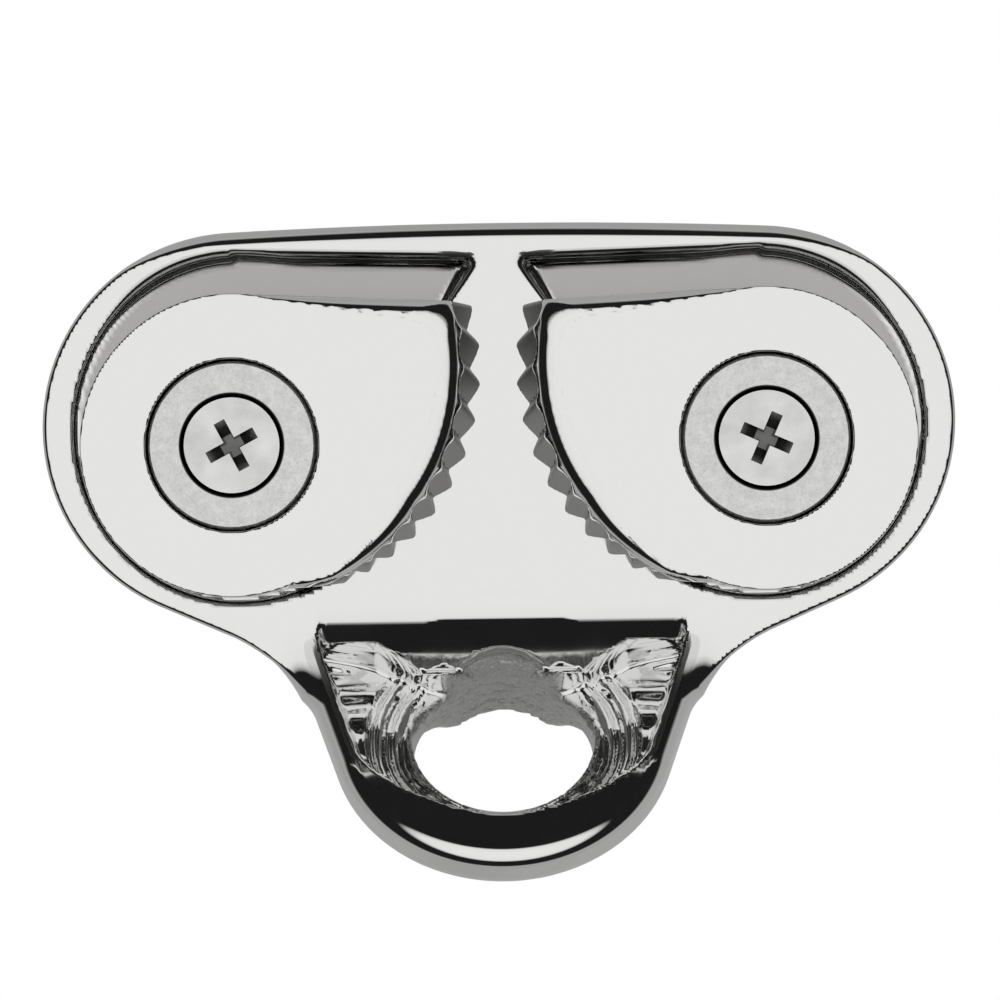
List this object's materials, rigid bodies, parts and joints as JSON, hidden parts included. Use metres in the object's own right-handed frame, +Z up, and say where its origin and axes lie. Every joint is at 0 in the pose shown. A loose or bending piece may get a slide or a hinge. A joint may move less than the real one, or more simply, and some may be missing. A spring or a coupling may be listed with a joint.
{
  "type": "cam cleat",
  "caption": "Low polished steel cam cleat: sprung toothed cams on an oblong cast base grip a rope led in through a tilted fairlead ring at the front.",
  "frame": {"origin": "on the underside of the base, midway between the two deck screws", "axes": "+Z up from the deck, +X along the base's length, +Y towards the hand side where the rope leaves; the fairlead is on the -Y side"},
  "size_m": [0.0664, 0.0475, 0.0295],
  "materials": {
    "polished_steel": "mirror-polished cast 316 stainless steel, satin in the recesses and rough as cast in the ring's bore",
    "cam_steel": "mirror-polished cast 316 stainless steel, darker as-cast tooth flanks",
    "blasted_steel": "bead-blasted matte",
    "screw_steel": "satin, as formed",
    "turned_steel": "turned",
    "spring_steel": "drawn wire",
    "acetal": "black acetal, matte"
  },
  "bodies": {
    "base": {"base_body": "polished_steel", "left_pivot_bush": "turned_steel", "right_pivot_bush": "turned_steel", "left_cap_washer": "blasted_steel", "right_cap_washer": "blasted_steel", "left_thrust_washer": "acetal", "right_thrust_washer": "acetal", "left_torsion_spring": "spring_steel", "right_torsion_spring": "spring_steel", "left_stop_pin": "turned_steel", "right_stop_pin": "turned_steel", "left_mount_screw": "screw_steel", "right_mount_screw": "screw_steel"},
    "left_cam_body": {"left_cam": "cam_steel", "left_bearing_sleeve": "acetal"},
    "right_cam_body": {"right_cam": "cam_steel", "right_bearing_sleeve": "acetal"}
  },
  "joints": [
    {"name": "left_cam_pivot", "type": "hinge", "parent": "base", "child": "left_cam_body", "pos_m": [-0.019, 0, 0.011], "axis": [0, 0, 1], "range_deg": [0, 38], "stiffness_Nm_per_rad": 0.02, "springref_deg": -45.84, "deforming": ["left_torsion_spring"]},
    {"name": "right_cam_pivot", "type": "hinge", "parent": "base", "child": "right_cam_body", "pos_m": [0.019, 0, 0.011], "axis": [0, 0, -1], "range_deg": [0, 38], "stiffness_Nm_per_rad": 0.02, "springref_deg": -45.84, "deforming": ["right_torsion_spring"]}
  ]
}
